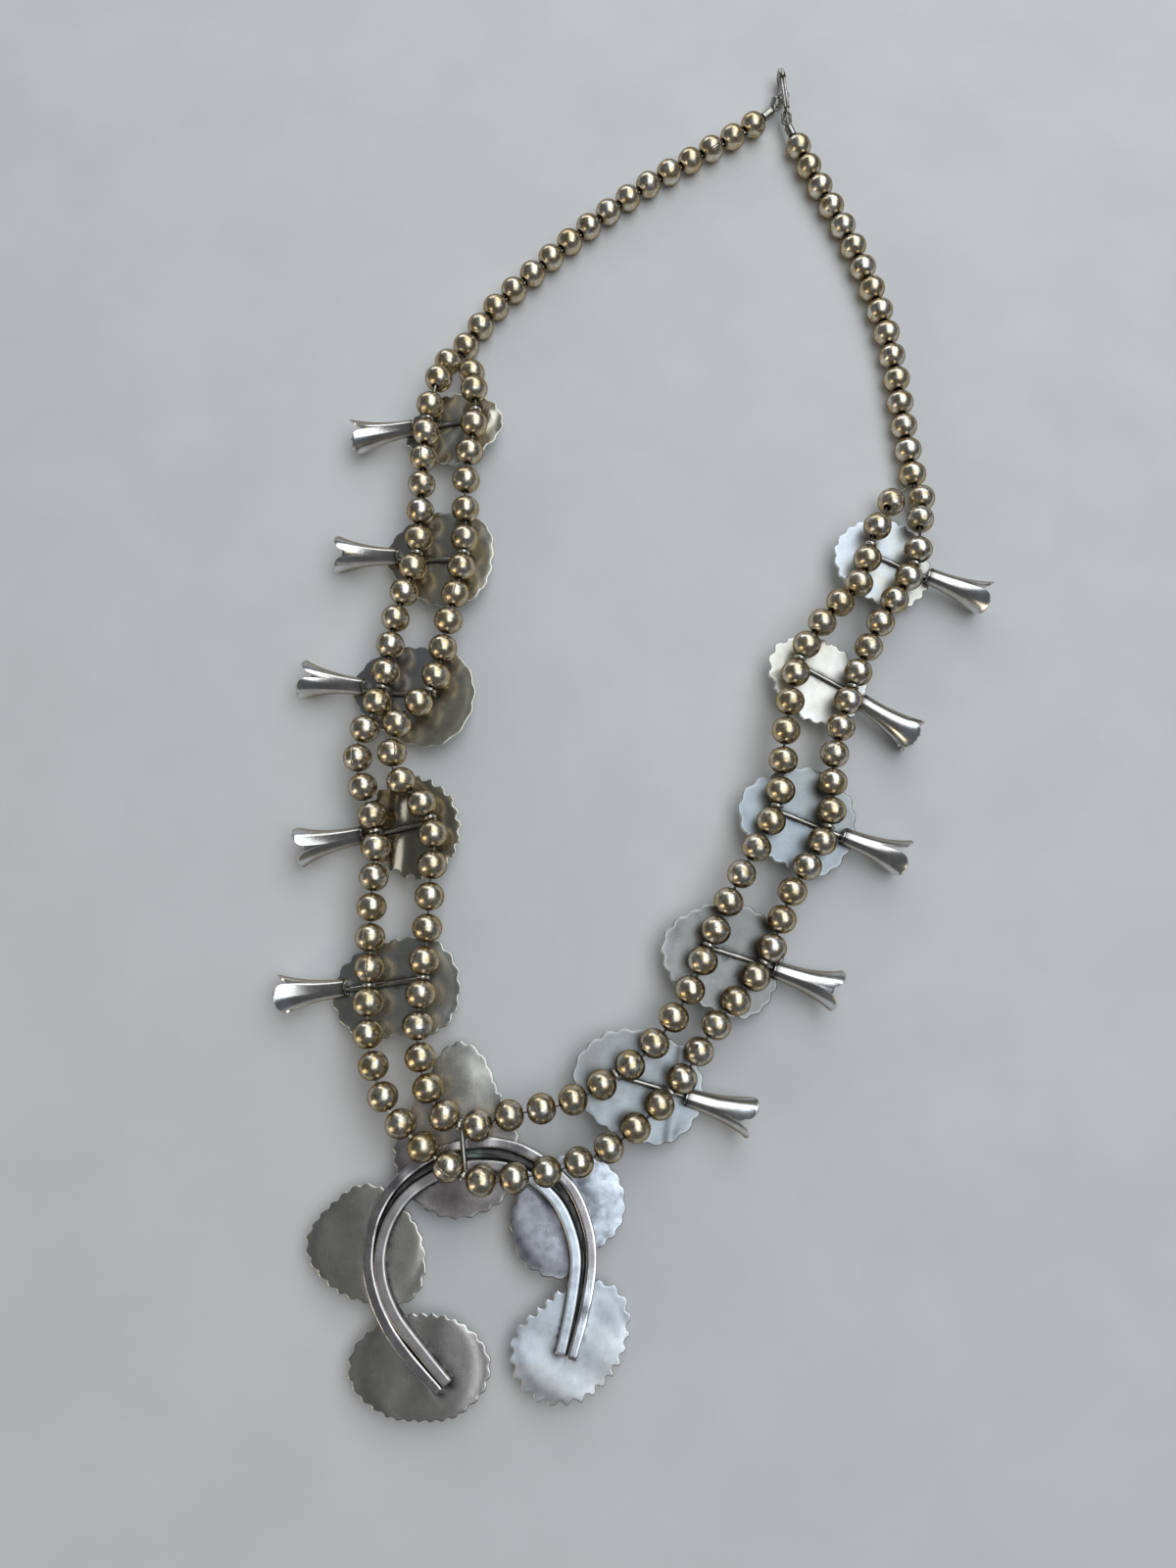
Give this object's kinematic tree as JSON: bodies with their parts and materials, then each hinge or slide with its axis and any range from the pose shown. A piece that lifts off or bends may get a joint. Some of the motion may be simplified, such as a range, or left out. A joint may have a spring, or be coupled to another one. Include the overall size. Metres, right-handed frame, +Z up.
{
  "type": "squash blossom necklace",
  "caption": "Silver squash blossom necklace with a double strand of round beads, flared flowers on stone-set back plates, a crescent pendant and a hook clasp, lying face down.",
  "frame": {"origin": "centre of the bounding box in plan, on the surface that the necklace lies on", "axes": "+Z up from the surface to the backs of the pieces, +Y along the length to the clasp, +X to the right as the picture shows it; the necklace lies face down"},
  "size_m": [0.1808, 0.3609, 0.0157],
  "materials": {
    "bead_silver": "polished silver with a warm tarnish",
    "thread_silver": "fine foxtail thread, tarnished",
    "blossom_silver": "satin sheet silver, tarnished unevenly, bright rims",
    "naja_silver": "satin sheet and wire silver, tarnished unevenly, dark solder seams",
    "clasp_silver": "polished wire silver, dark where it is wound",
    "turquoise": "polished plain cabochon"
  },
  "bodies": {
    "root": {"neck_beads_left": "bead_silver", "neck_beads_right": "bead_silver", "outer_beads_left": "bead_silver", "outer_beads_right": "bead_silver", "inner_beads_left": "bead_silver", "inner_beads_right": "bead_silver", "outer_thread": "thread_silver", "inner_thread": "thread_silver", "blossom_left_1": "blossom_silver", "blossom_left_2": "blossom_silver", "blossom_left_3": "blossom_silver", "blossom_left_4": "blossom_silver", "blossom_left_5": "blossom_silver", "blossom_right_1": "blossom_silver", "blossom_right_2": "blossom_silver", "blossom_right_3": "blossom_silver", "blossom_right_4": "blossom_silver", "blossom_right_5": "blossom_silver", "stone_left_1": "turquoise", "stone_left_2": "turquoise", "stone_left_3": "turquoise", "stone_left_4": "turquoise", "stone_left_5": "turquoise", "stone_right_1": "turquoise", "stone_right_2": "turquoise", "stone_right_3": "turquoise", "stone_right_4": "turquoise", "stone_right_5": "turquoise", "naja_stone_1": "turquoise", "naja_stone_2": "turquoise", "naja_stone_3": "turquoise", "naja_stone_4": "turquoise", "naja_stone_5": "turquoise", "naja": "naja_silver", "clasp_hook": "clasp_silver", "clasp_eye": "clasp_silver", "end_link_left": "clasp_silver", "end_link_right": "clasp_silver", "end_tip_left": "clasp_silver", "end_tip_right": "clasp_silver"}
  },
  "joints": []
}
